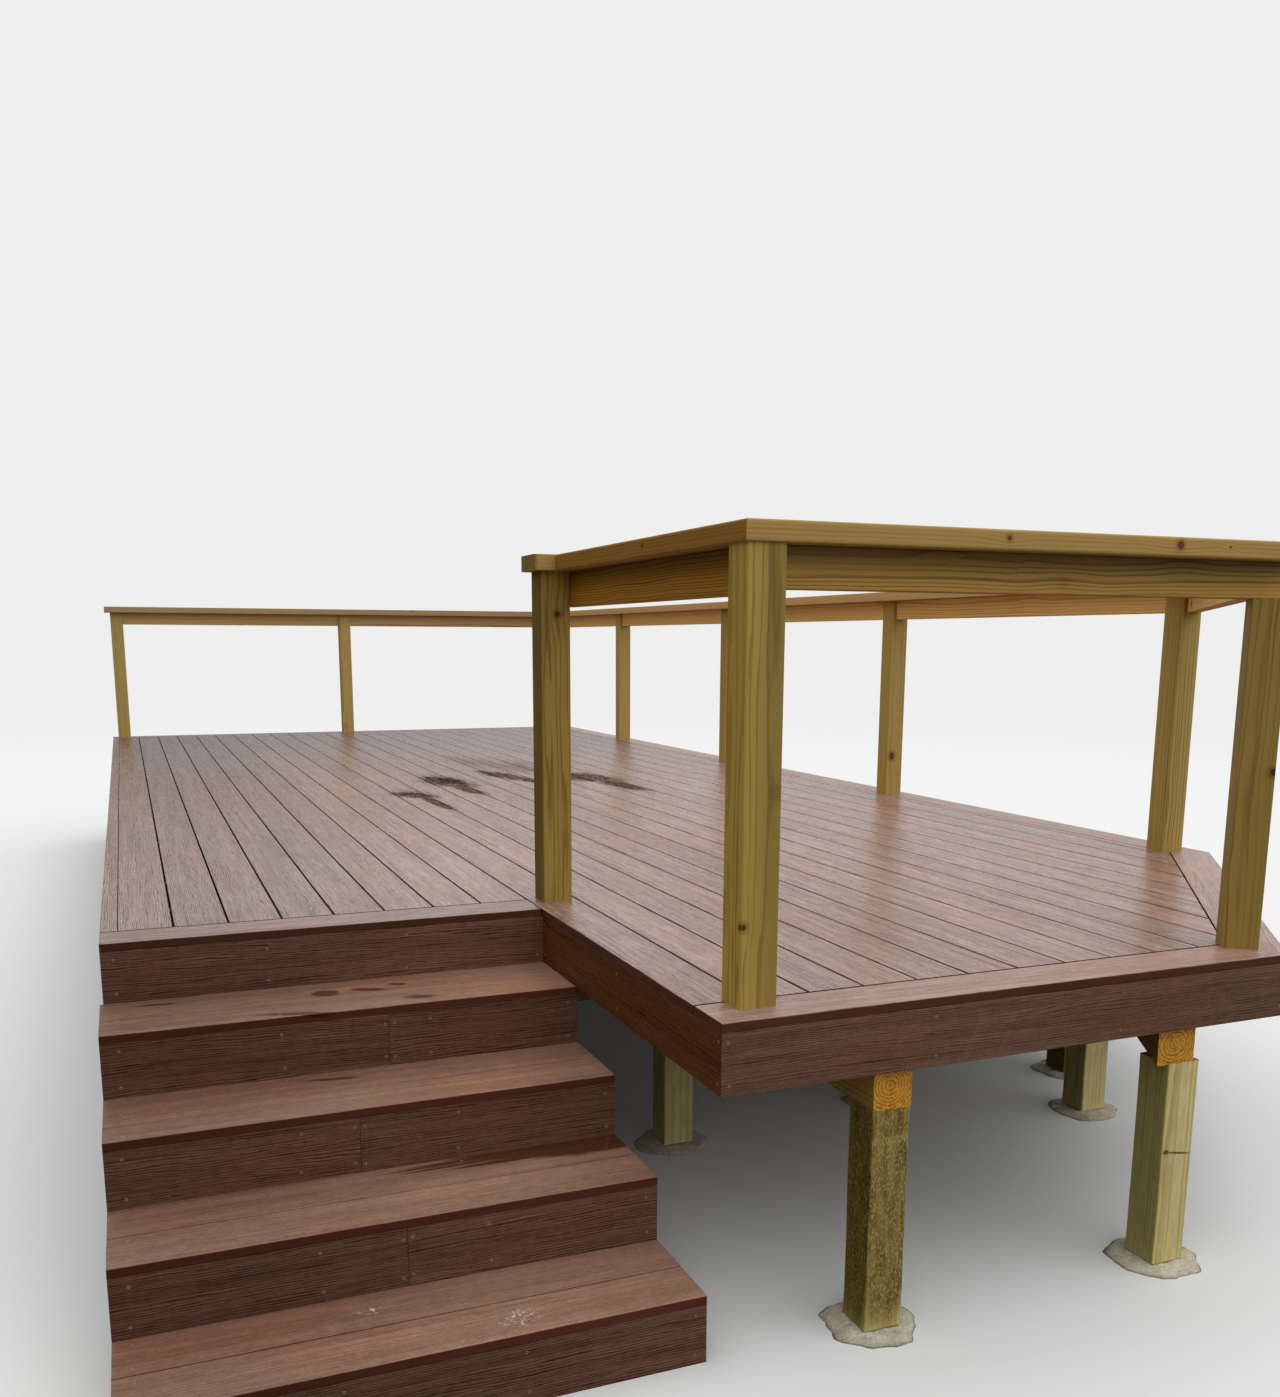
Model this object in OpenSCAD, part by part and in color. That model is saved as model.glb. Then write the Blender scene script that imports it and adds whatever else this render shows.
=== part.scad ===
// Timber deck with a five-riser flight of stairs, a clipped corner and a post-and-cap handrail.
// Millimetres, +Z up, +X away from the house wall, +Y along the wall, ground at z = 0.

/* [Decking boards] */
// width of a decking board
board_w = 140; // [120:5:160]
// thickness of a decking board
board_t = 22; // [19:1:28]
// drainage gap between boards
board_gap = 5; // [3:1:8]

/* [Stairs] */
// clear width at the head of the flight, from the house side to the notch corner
stair_w = 1205; // [1180:5:1280]
// how far the treads and risers run past that width at each end
tread_over = 8; // [0:1:12]
// thickness of a stringer
stringer_t = 45; // [35:1:50]
// timber left behind a stringer notch, square to the slope
stringer_throat = 110; // [80:5:130]
// stringers under the flight
stringer_n = 4; // [3:1:5]
// from the flight's right end to the butt joint in the second riser
joint_2 = 515; // [450:5:600]
// from the flight's right end to the butt joint in the third riser
joint_3 = 645; // [610:5:720]
// from the flight's right end to the butt joint in the fourth riser
joint_4 = 595; // [500:5:640]
// gap left at a butt joint between two boards or caps
butt_gap = 1; // [0.5:0.5:3]

/* [Deck outline] */
// depth of the notch that the flight stands in
notch_d = 1210; // [1150:10:1300]
// front edge, from the near corner to the clipped corner
front_w = 1600; // [1500:10:1700]
// clipped corner, across the front
clip_x = 1050; // [950:10:1150]
// clipped corner, along the side
clip_y = 1260; // [1160:10:1360]
// deck behind the top of the flight
deck_l = 7500; // [7000:50:8000]

/* [Frame under the deck] */
// joist thickness
joist_t = 45; // [35:1:50]
// joist depth
joist_d = 140; // [120:5:160]
// joist spacing
joist_step = 450; // [400:10:500]
// bearer width
bearer_w = 100; // [75:5:100]
// bearer depth
bearer_d = 95; // [75:5:110]
// side of a square stump
stump_w = 100; // [90:5:120]
// radius of a concrete footing
footing_r = 135; // [110:5:150]
// concrete standing above the ground
footing_h = 15; // [10:5:60]
// spacing of the stumps along a bearer
stump_step = 1225; // [1150:25:1275]
// from the notch corner to the bearer whose end shows at the front
bearer_mid = 440; // [400:10:480]
// from the notch corner to the next bearer out
bearer_far = 1250; // [1200:10:1300]
// from the far side edge to the outermost bearer
bearer_in = 558; // [540:2:580]
// from the clipped corner back to the near end of the slanted bearer
slant_in = 329; // [310:1:350]

/* [Handrail] */
// side of a square post
post_w = 90; // [80:5:100]
// top of the cap above the deck
rail_h = 1020; // [950:10:1100]
// cap width
cap_w = 140; // [120:5:160]
// cap thickness
cap_t = 45; // [35:1:50]
// from the outer face of a post to the cap's outer edge
cap_over = 8; // [4:1:20]
// spacing of the posts down the long side
post_step = 1885; // [1700:5:1900]
// depth of the rails on edge under the cap
rail_d = 90; // [75:5:110]
// depth of the rail beside the flight
side_rail_d = 100; // [90:5:120]
// thickness of the rail on edge
rail_t = 45; // [35:1:50]
// from a deck edge to the outer face of its posts
post_inset = 70; // [55:5:90]
// how much further in than that the near corner post stands
near_post_in = 5; // [0:1:15]
// from the top of the flight to the near face of the post there
stair_post_back = 80; // [60:5:120]
// from the clipped corner to the middle of its first post, along the front
clip_post_in = 45; // [30:5:60]
// how far that turned post stands back from the line of the front
clip_post_set = 8; // [0:1:15]
// from the clipped corner to the middle of its second post, along the side
clip_post_back = 110; // [90:5:150]
// from the house side to the outer face of the last post
end_post_in = 40; // [0:5:60]
// from that post to the middle post of the far side
end_post_step = 1760; // [1600:10:1850]

/* [Hidden] */
$fn = 64;

riser_n = 5;
pitch = board_w + board_gap;
rise = board_w + board_t;
going = 2 * board_w + board_gap;
flight_w = stair_w + 2 * tread_over;
deck_z = riser_n * rise;
joist_top = deck_z - board_t;
joist_low = joist_top - joist_d;
bearer_low = joist_low - bearer_d;
header_d = joist_d;

right_x = front_w + clip_x;
clip_back = clip_y - notch_d;
outline = [[-stair_w, 0], [0, 0], [0, -notch_d], [front_w, -notch_d], [right_x, clip_back],
    [right_x, deck_l], [-stair_w, deck_l]];

front_stump_y = -notch_d + board_t + stump_w / 2;
rear_stump_y = deck_l - footing_r - board_t;
first_bearer = -stair_w + footing_r + 2 * board_gap;
bearer_x = [first_bearer, (first_bearer + bearer_mid) / 2, bearer_mid, bearer_far, right_x - bearer_in];
first_row_y = joist_t + board_t + stump_w / 2;
stump_rows = round((rear_stump_y - first_row_y) / stump_step);
function row_y(i) = first_row_y + i * (rear_stump_y - first_row_y) / stump_rows;

mid_x = (right_x - stair_w - tread_over) / 2;
mid_y = (deck_l + front_stump_y - footing_r) / 2;

post_h = rail_h - cap_t;
rail_low = deck_z + post_h - rail_d;
post_mid = post_inset + post_w / 2;
p_near = [post_mid + near_post_in, -notch_d + post_mid];
p_stair = [p_near[0] - rail_t, stair_post_back + post_w / 2];
p_front = [front_w - clip_post_in, p_near[1] + clip_post_set];
p_right = [right_x - post_mid, clip_back + clip_post_back];
p_back = [right_x - post_mid, deck_l - post_mid];
p_end = [-stair_w + end_post_in + post_w / 2, p_back[1]];
p_back_mid = p_end + [end_post_step, 0];
clip_turn = atan2(p_right[1] - p_front[1], p_right[0] - p_front[0]);
right_line = [for (i = [0:3]) p_right + [0, i * post_step], p_back];

wood_dark = [0.33, 0.22, 0.19];
wood_deck = [0.56, 0.45, 0.41];
wood_tread = [0.47, 0.36, 0.31];
pine_post = [0.57, 0.46, 0.24];
pine_cap = [0.66, 0.48, 0.28];
pine_frame = [0.60, 0.45, 0.24];
pine_stump = [0.42, 0.37, 0.22];
concrete = [0.66, 0.65, 0.61];

function unit(v) = v / norm(v);
function left_of(v) = [-v[1], v[0]];
function corner(a, p, b, w) = let (m = left_of(unit(p - a)), n = left_of(unit(b - p)))
    p + w * (m + n) / (1 + m * n);
function ring(i) = outline[(i + len(outline)) % len(outline)];
function inset(i, w) = corner(ring(i - 1), ring(i), ring(i + 1), w);
function clip_line(y, w) = front_w + (y + notch_d) * clip_x / clip_y - w * norm([clip_x, clip_y]) / clip_y;
function clip_at(x, w) = (x + w * norm([clip_x, clip_y]) / clip_y - front_w) * clip_y / clip_x - notch_d;
slant_foot = [front_w - slant_in, -notch_d + board_t];
slant_head = [bearer_x[4], row_y(0)];
slant_run = slant_head - slant_foot;
slant_half = bearer_w / 2 * norm(slant_run) / slant_run[1];
function slant_at(y) = [slant_foot[0] + (y - slant_foot[1]) * slant_run[0] / slant_run[1], y];
slant_stumps = [slant_at(front_stump_y), slant_at(row_y(0) - 0.75 * joist_step)];
notch_stump = [bearer_mid, board_t + joist_t / 3];

module site() {
    translate([-mid_x, -mid_y, 0])
        children();
}

module slab(points, z, t) {
    translate([0, 0, z])
        linear_extrude(t)
            polygon(points);
}

module edge_band(i, w, z, t) {
    slab([ring(i), ring(i + 1), inset(i + 1, w), inset(i, w)], z, t);
}

module fascia(i) {
    color(wood_dark)
        site()
            edge_band(i, board_t, joist_top - board_w, board_w);
}

front_places = [[bearer_x[2], front_stump_y], notch_stump, slant_stumps[0], slant_stumps[1]];
rear_places = [for (i = [0 : stump_rows]) for (x = bearer_x) if (i > 0 || x != bearer_x[2]) [x, row_y(i)]];

module footings() {
    color(concrete)
        site()
            for (p = concat(front_places, rear_places))
                translate([p[0], p[1], 0])
                    cylinder(r = footing_r, h = footing_h);
}

module stumps(places) {
    color(pine_stump)
        site()
            for (p = places)
                translate([p[0] - stump_w / 2, p[1] - stump_w / 2, footing_h])
                    cube([stump_w, stump_w, bearer_low - footing_h]);
}

module front_stumps() {
    stumps(front_places);
}

module rear_stumps() {
    stumps(rear_places);
}

module bearer(x, y) {
    translate([x - bearer_w / 2, y, bearer_low])
        cube([bearer_w, deck_l - board_t - y, bearer_d]);
}

module bearers() {
    color(pine_frame)
        site() {
            bearer(bearer_x[0], board_t + joist_t);
            bearer(bearer_x[1], board_t + joist_t);
            bearer(bearer_x[2], -notch_d + board_t);
            bearer(bearer_x[3], row_y(0) - stump_w / 2);
            bearer(bearer_x[4], row_y(0));
        }
}

module slanted_bearer() {
    color(pine_frame)
        site()
            slab([slant_foot - [slant_half, 0], slant_foot + [slant_half, 0], slant_head + [slant_half, 0],
                slant_head - [slant_half, 0]], bearer_low, bearer_d);
}

module stair_header() {
    color(pine_frame)
        site()
            translate([-stair_w + board_t, board_t, joist_low - header_d])
                cube([stair_w - board_t + bearer_x[2] - stump_w / 2, joist_t, header_d]);
}

function right_at(y) = min(right_x - board_t, clip_line(y, board_t));

module joist(xa, y) {
    bend = inset(4, board_t);
    slab(concat([[xa, y], [right_at(y), y]], y < bend[1] && bend[1] < y + joist_t ? [bend] : [],
        [[right_at(y + joist_t), y + joist_t], [xa, y + joist_t]]), joist_low, joist_d);
}

module rim_joists() {
    color(pine_frame)
        site() {
            joist(board_t, -notch_d + board_t);
            joist(-stair_w + board_t, board_t);
            joist(-stair_w + board_t, deck_l - board_t - joist_t);
        }
}

notch_spaces = round(notch_d / joist_step);

module joists() {
    color(pine_frame)
        site() {
            for (i = [1 : notch_spaces - 1])
                joist(board_t, board_t - i * notch_d / notch_spaces);
            for (y = [board_t + joist_step : joist_step : deck_l - 2 * joist_t - board_t])
                joist(-stair_w + board_t, y);
        }
}

module riser_1() {
    fascia(0);
}

module side_fascia() {
    fascia(1);
}

module front_fascia() {
    fascia(2);
}

module clipped_fascia() {
    fascia(3);
}

module right_fascia() {
    fascia(4);
}

module back_fascia() {
    fascia(5);
}

module house_fascia() {
    fascia(6);
}

function tread_z(k) = deck_z - k * rise;
function notch(k) = [[-(k - 1) * going + board_t, tread_z(k) - board_t],
    [-k * going + board_t, tread_z(k) - board_t]];
slope = atan2(rise, going);
throat_z = stringer_throat / cos(slope);
stringer_low = tread_z(1) - board_t - throat_z;
stringer_foot = board_t - stringer_low / tan(slope);

module stringers() {
    span = (stair_w - stringer_t) / (stringer_n - 1);
    profile = concat([for (k = [1 : riser_n - 1]) each notch(k)],
        [[-(riser_n - 1) * going + board_t, 0], [stringer_foot, 0], [board_t, stringer_low]]);
    color(pine_frame)
        site()
            for (i = [0 : stringer_n - 1])
                translate([-stair_w + i * span, 0, 0])
                    rotate([90, 0, 90])
                        linear_extrude(stringer_t)
                            polygon(profile);
}

module riser(k, joint) {
    y = -(k - 1) * going;
    color(wood_dark)
        site() {
            translate([-joint, y, tread_z(k)])
                cube([joint + tread_over, board_t, board_w]);
            translate([-stair_w - tread_over, y, tread_z(k)])
                cube([stair_w + tread_over - joint - butt_gap, board_t, board_w]);
        }
}

module riser_2() {
    riser(2, joint_2);
}

module riser_3() {
    riser(3, joint_3);
}

module riser_4() {
    riser(4, joint_4);
}

module riser_5() {
    color(wood_dark)
        site()
            translate([-stair_w - tread_over, -(riser_n - 1) * going, 0])
                cube([flight_w, board_t, board_w]);
}

module tread(k) {
    color(wood_tread)
        site()
            for (y = [-k * going, -k * going + pitch])
                translate([-stair_w - tread_over, y, tread_z(k) - board_t])
                    cube([flight_w, board_w, board_t]);
}

module tread_1() {
    tread(1);
}

module tread_2() {
    tread(2);
}

module tread_3() {
    tread(3);
}

module tread_4() {
    tread(4);
}

field_back = deck_l - pitch;
field_right = right_x - pitch;
kink = inset(3, pitch);

module deck_boards() {
    color(wood_deck)
        site() {
            for (i = [1:left_n])
                left_board(-i * pitch, -i * pitch + board_w);
            if (left_rip > -stair_w + board_gap)
                left_board(-stair_w, left_rip);
            for (x = [0 : pitch : field_right - board_gap])
                field_board(x, min(x + board_w, field_right));
        }
}

left_n = floor(stair_w / pitch);
left_rip = -left_n * pitch - butt_gap;

module left_board(xa, xb) {
    slab([[xa, pitch], [xb, pitch], [xb, field_back], [xa, field_back]], joist_top, board_t);
}

function front_of(x) = x <= kink[0] ? kink[1] : clip_at(x, pitch);

module field_board(xa, xb) {
    bend = xa < kink[0] && kink[0] < xb ? [kink] : [];
    slab(concat([[xa, front_of(xa)]], bend, [[xb, front_of(xb)], [xb, field_back], [xa, field_back]]),
        joist_top, board_t);
}

module stair_top_border() {
    color(wood_deck)
        site()
            translate([-stair_w, 0, joist_top])
                cube([stair_w - board_gap, board_w, board_t]);
}

module front_border() {
    color(wood_deck)
        site()
            slab([ring(2), ring(3), inset(3, board_w), [0, -notch_d + board_w]], joist_top, board_t);
}

module clipped_border() {
    color(wood_deck)
        site()
            edge_band(3, board_w, joist_top, board_t);
}

module right_border() {
    color(wood_deck)
        site()
            edge_band(4, board_w, joist_top, board_t);
}

module back_border() {
    color(wood_deck)
        site()
            slab([ring(5), ring(6), [-stair_w, deck_l - board_w], inset(5, board_w)], joist_top, board_t);
}

module post(p, turn = 0, h = post_h) {
    translate([p[0], p[1], deck_z])
        rotate([0, 0, turn])
            translate([-post_w / 2, -post_w / 2, 0])
                cube([post_w, post_w, h]);
}

module stair_post() {
    color(pine_post)
        site()
            post(p_stair);
}

module near_corner_post() {
    color(pine_post)
        site()
            post(p_near);
}

module clipped_front_post() {
    color(pine_post)
        site()
            post(p_front, clip_turn, post_h - rail_d);
}

module clipped_right_post() {
    color(pine_post)
        site()
            post(p_right);
}

module right_posts() {
    color(pine_post)
        site()
            for (i = [1:3])
                post(right_line[i]);
}

module back_posts() {
    color(pine_post)
        site() {
            post(p_back);
            post(p_back_mid);
            post(p_end);
        }
}

rail_back = p_near[1] + post_w / 2;

module side_rail() {
    color(pine_cap)
        site()
            translate([p_near[0] + post_w / 2 - rail_t, rail_back, deck_z + post_h - side_rail_d])
                cube([rail_t, p_stair[1] - p_near[1], side_rail_d]);
}

module front_rail() {
    color(pine_cap)
        site()
            translate([p_near[0] + post_w / 2, rail_back - rail_t, rail_low])
                cube([p_front[0] - p_near[0], rail_t, rail_d]);
}

clip_rail_ends = [[p_front[0] - 0.75 * rail_t, rail_back],
    [p_right[0] + near_post_in, p_right[1] - post_w / 2]];
clip_rail_run = clip_rail_ends[1] - clip_rail_ends[0];
clip_rail_half = [rail_t / 2 * norm(clip_rail_run) / clip_rail_run[1], 0];

module clipped_rail() {
    color(pine_cap)
        site()
            slab([clip_rail_ends[0] - clip_rail_half, clip_rail_ends[0] + clip_rail_half,
                clip_rail_ends[1] + clip_rail_half, clip_rail_ends[1] - clip_rail_half], rail_low, rail_d);
}

module rail_between(p, q) {
    run = q - p;
    half = post_w / 2 * unit(run);
    side = rail_t / 2 * left_of(unit(run));
    slab([p + half - side, q - half - side, q - half + side, p + half + side], rail_low, rail_d);
}

module right_rails() {
    color(pine_cap)
        site()
            for (i = [0:3])
                rail_between(right_line[i], right_line[i + 1]);
}

module back_rails() {
    color(pine_cap)
        site() {
            rail_between(p_back, p_back_mid);
            rail_between(p_back_mid, p_end);
        }
}

cap_out = -post_w / 2 - cap_over;
cap_in = cap_out + cap_w;
cap_run = [[p_near[0], p_stair[1] - cap_w / 2 - butt_gap], p_near,
    p_front - clip_post_set * [1 / tan(clip_turn), 1], p_right, p_back, [-stair_w, p_back[1]]];
function cap_side(i, w) = i == 0 ? cap_run[0] + [w, 0]
    : i == 5 ? cap_run[5] - [0, w]
    : corner(cap_run[i - 1], cap_run[i], cap_run[i + 1], w);

module cap(i) {
    slab([cap_side(i, cap_out), cap_side(i + 1, cap_out), cap_side(i + 1, cap_in), cap_side(i, cap_in)],
        deck_z + post_h, cap_t);
}

module side_cap() {
    color(pine_cap)
        site() {
            cap(0);
            translate([p_stair[0] - cap_w / 2, p_stair[1] - cap_w / 2, deck_z + post_h])
                cube([cap_w, cap_w, cap_t]);
        }
}

module front_cap() {
    color(pine_cap)
        site()
            cap(1);
}

module clipped_cap() {
    color(pine_cap)
        site()
            cap(2);
}

module right_cap() {
    color(pine_cap)
        site()
            cap(3);
}

module back_cap() {
    color(pine_cap)
        site()
            cap(4);
}

footings();
front_stumps();
rear_stumps();
bearers();
slanted_bearer();
stair_header();
rim_joists();
joists();
riser_1();
side_fascia();
front_fascia();
clipped_fascia();
right_fascia();
back_fascia();
house_fascia();
stringers();
riser_2();
riser_3();
riser_4();
riser_5();
tread_1();
tread_2();
tread_3();
tread_4();
deck_boards();
stair_top_border();
front_border();
clipped_border();
right_border();
back_border();
stair_post();
near_corner_post();
clipped_front_post();
clipped_right_post();
right_posts();
back_posts();
side_rail();
front_rail();
clipped_rail();
right_rails();
back_rails();
side_cap();
front_cap();
clipped_cap();
right_cap();
back_cap();
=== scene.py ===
import math
import random

import bmesh
import bpy
from mathutils import Matrix, Vector, noise


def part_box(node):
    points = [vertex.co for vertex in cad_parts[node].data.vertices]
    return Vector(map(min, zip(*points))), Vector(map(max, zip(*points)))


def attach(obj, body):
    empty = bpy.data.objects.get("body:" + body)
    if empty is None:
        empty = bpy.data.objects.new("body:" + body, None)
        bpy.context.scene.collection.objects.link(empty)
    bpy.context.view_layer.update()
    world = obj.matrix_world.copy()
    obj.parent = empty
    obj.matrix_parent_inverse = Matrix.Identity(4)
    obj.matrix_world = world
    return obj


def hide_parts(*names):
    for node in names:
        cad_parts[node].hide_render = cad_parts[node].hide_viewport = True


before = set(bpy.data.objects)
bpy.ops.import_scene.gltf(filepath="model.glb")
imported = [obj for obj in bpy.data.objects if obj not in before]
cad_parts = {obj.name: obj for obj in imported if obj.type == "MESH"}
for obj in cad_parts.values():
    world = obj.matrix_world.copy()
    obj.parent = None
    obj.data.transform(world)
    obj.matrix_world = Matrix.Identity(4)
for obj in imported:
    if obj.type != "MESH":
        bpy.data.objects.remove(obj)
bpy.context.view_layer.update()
scene = bpy.context.scene

# Without a seed, the noise that moves points would differ from run to run.
noise.seed_set(3)

X, Y, Z = 0, 1, 2
UP, FORWARD = Vector((0, 0, 1)), Vector((0, -1, 0))

# The notch corner at the head of the stairs, in the row frame. Marks are given from it in mm.
CORNER = Vector((-0.7185, -3.1135, 0.81))

# Places closer than this, in metres, count as one.
TOUCH = 1e-4


def spot(x, y, z=0.0):
    """A point in the row frame, from its place in mm from the notch corner."""
    return CORNER + Vector((x, y, z)) / 1000


def middle_of(points):
    """The mean of a solid's corner points."""
    return sum(points, Vector()) / len(points)


def reach_of(points, axis):
    """The least and the greatest place of points along an axis."""
    return min(p[axis] for p in points), max(p[axis] for p in points)


def add_object(name, verts, faces, material):
    """A mesh object of one material in the scene."""
    mesh = bpy.data.meshes.new(name)
    mesh.from_pydata(verts, [], faces)
    mesh.materials.append(material)
    obj = bpy.data.objects.new(name, mesh)
    scene.collection.objects.link(obj)
    return obj


# ---------------------------------------------------------------- camera

# Fitted to the photo: yaw, pitch and roll in degrees, place from the corner in mm, and in pixels
# the focal length, the row that the lens looks at and the height of the photo.
CAMERA_TURNS = (22.2235, -10.5627, 0.2010)
CAMERA_PLACE = (-1099.78, -3449.70, 780.57)
FOCAL_LENGTH = 1251.77
LENS_ROW = 873.21
PHOTO_HEIGHT = 1397
SENSOR_MM = 36


def make_camera():
    """The camera that the photo was taken with. Its lens looks below the middle of the frame."""
    data = bpy.data.cameras.new("camera")
    cam = bpy.data.objects.new("camera", data)
    scene.collection.objects.link(cam)
    yaw, pitch, roll = (math.radians(a) for a in CAMERA_TURNS)
    ahead = Vector((math.sin(yaw) * math.cos(pitch), math.cos(yaw) * math.cos(pitch),
                    math.sin(pitch)))
    right = Vector((math.cos(yaw), -math.sin(yaw), 0))
    up = right.cross(ahead)
    right, up = (right * math.cos(roll) + up * math.sin(roll),
                 up * math.cos(roll) - right * math.sin(roll))
    turn = Matrix((right, up, -ahead)).transposed()
    cam.matrix_world = Matrix.Translation(spot(*CAMERA_PLACE)) @ turn.to_4x4()
    data.sensor_fit = "AUTO"
    data.sensor_width = SENSOR_MM
    data.lens = FOCAL_LENGTH / PHOTO_HEIGHT * SENSOR_MM
    data.shift_y = (LENS_ROW - PHOTO_HEIGHT / 2) / PHOTO_HEIGHT
    data.clip_start, data.clip_end = 0.05, 200
    scene.camera = cam


make_camera()


# ---------------------------------------------------------------- node helpers

class Net:
    """Small builder for a node tree. Inputs are sockets, numbers or tuples."""

    def __init__(self, name="", world=None):
        if world:
            self.tree = world.node_tree
        else:
            self.mat = bpy.data.materials.new(name)
            self.mat.use_nodes = True
            self.tree = self.mat.node_tree
        self.tree.nodes.clear()

    def node(self, kind, **settings):
        n = self.tree.nodes.new(kind)
        for k, v in settings.items():
            setattr(n, k, v)
        return n

    def put(self, socket, value):
        if isinstance(value, bpy.types.NodeSocket):
            self.tree.links.new(value, socket)
        elif value is not None:
            if hasattr(socket.default_value, "__len__") and not hasattr(value, "__len__"):
                value = [value] * len(socket.default_value)
            if hasattr(value, "__len__") and len(value) == 3 and len(socket.default_value) == 4:
                value = (*value, 1)
            socket.default_value = value

    def attr(self, name, out="Vector"):
        return self.node("ShaderNodeAttribute", attribute_name=name).outputs[out]

    def place(self):
        return self.node("ShaderNodeTexCoord").outputs["Object"]

    def math(self, op, a, b=None, c=None, clamp=False):
        n = self.node("ShaderNodeMath", operation=op, use_clamp=clamp)
        for i, v in enumerate((a, b, c)):
            if v is not None:
                self.put(n.inputs[i], v)
        return n.outputs[0]

    def add(self, a, b):
        return self.math("ADD", a, b)

    def take(self, a, b):
        return self.math("SUBTRACT", a, b)

    def mul(self, a, b):
        return self.math("MULTIPLY", a, b)

    def most(self, a, b):
        return self.math("MAXIMUM", a, b)

    def least(self, a, b):
        return self.math("MINIMUM", a, b)

    def span(self, value, low, high):
        """A 0 to 1 value spread from low to high."""
        return self.math("MULTIPLY_ADD", value, high - low, low)

    def about(self, value, middle, half):
        """A 0 to 1 value spread by half to each side of a middle."""
        return self.span(value, middle - half, middle + half)

    def less(self, mask, share):
        """1 where the mask is 0, and less by this share where it is 1."""
        return self.math("MULTIPLY_ADD", mask, -share, 1.0)

    def vec(self, op, a, b=None, scale=None):
        n = self.node("ShaderNodeVectorMath", operation=op)
        self.put(n.inputs[0], a)
        if b is not None:
            self.put(n.inputs[1], b)
        if scale is not None:
            self.put(n.inputs["Scale"], scale)
        return n.outputs["Value" if op in ("LENGTH", "DOT_PRODUCT") else "Vector"]

    def length(self, v):
        return self.vec("LENGTH", v)

    def split(self, v):
        n = self.node("ShaderNodeSeparateXYZ")
        self.put(n.inputs[0], v)
        return n.outputs

    def join(self, x=0.0, y=0.0, z=0.0):
        n = self.node("ShaderNodeCombineXYZ")
        for i, v in enumerate((x, y, z)):
            self.put(n.inputs[i], v)
        return n.outputs[0]

    def noise(self, vector, scale=1.0, detail=2.0, rough=0.5, warp=0.0):
        n = self.node("ShaderNodeTexNoise")
        settings = {"Vector": vector, "Scale": scale, "Detail": detail, "Roughness": rough,
                    "Distortion": warp}
        for k, v in settings.items():
            self.put(n.inputs[k], v)
        return n.outputs["Fac"]

    def stretched(self, grain, along, across, detail=2.0, rough=0.5, shift=0.0):
        """Noise with its own scale down the grain and across it."""
        u, v, w = grain
        v = self.math("MULTIPLY_ADD", v, across, shift)
        return self.noise(self.join(self.mul(u, along), v, self.mul(w, across)), 1.0, detail, rough)

    def step(self, value, low, high, to_low=0.0, to_high=1.0):
        n = self.node("ShaderNodeMapRange", interpolation_type="SMOOTHSTEP")
        for i, v in enumerate((value, low, high, to_low, to_high)):
            self.put(n.inputs[i], v)
        return n.outputs[0]

    def mix(self, fac, a, b, blend="MIX"):
        n = self.node("ShaderNodeMix", data_type="RGBA", blend_type=blend)
        self.put(n.inputs["Factor"], fac)
        self.put(n.inputs[6], a)
        self.put(n.inputs[7], b)
        return n.outputs[2]

    def tint(self, fac, colour, factor):
        """The colour, multiplied by a factor colour where fac is 1."""
        return self.mix(fac, colour, factor, "MULTIPLY")

    def fade(self, fac, a, b):
        n = self.node("ShaderNodeMix", data_type="FLOAT")
        self.put(n.inputs["Factor"], fac)
        self.put(n.inputs[2], a)
        self.put(n.inputs[3], b)
        return n.outputs[0]

    def shade(self, colour, amount):
        """The colour times a number."""
        return self.vec("SCALE", colour, scale=amount)

    def output(self, socket, kind="Material"):
        self.put(self.node("ShaderNodeOutput" + kind).inputs[0], socket)

    def mix_shaders(self, fac, a, b):
        n = self.node("ShaderNodeMixShader")
        for i, v in enumerate((fac, a, b)):
            self.put(n.inputs[i], v)
        return n.outputs[0]

    def surface(self, colour, rough, height, depth, strength, gleam, metallic=0.0):
        """Finish the material. Gleam sets how strongly it reflects, as what its IOR has above 1."""
        b = self.node("ShaderNodeBsdfPrincipled")
        self.put(b.inputs["Base Color"], colour)
        self.put(b.inputs["Roughness"], rough)
        self.put(b.inputs["IOR"], self.add(1.0, gleam))
        self.put(b.inputs["Metallic"], metallic)
        n = self.node("ShaderNodeBump")
        self.put(n.inputs["Strength"], strength)
        self.put(n.inputs["Distance"], depth)
        self.put(n.inputs["Height"], height)
        self.put(b.inputs["Normal"], n.outputs[0])
        self.output(b.outputs[0])
        return self.mat


def srgb(*channels):
    """A colour from 0 to 255 as seen on a screen, as the linear values that nodes take."""
    shares = [c / 255 for c in channels]
    return tuple(((s + 0.055) / 1.055) ** 2.4 if s > 0.04045 else s / 12.92 for s in shares)
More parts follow.
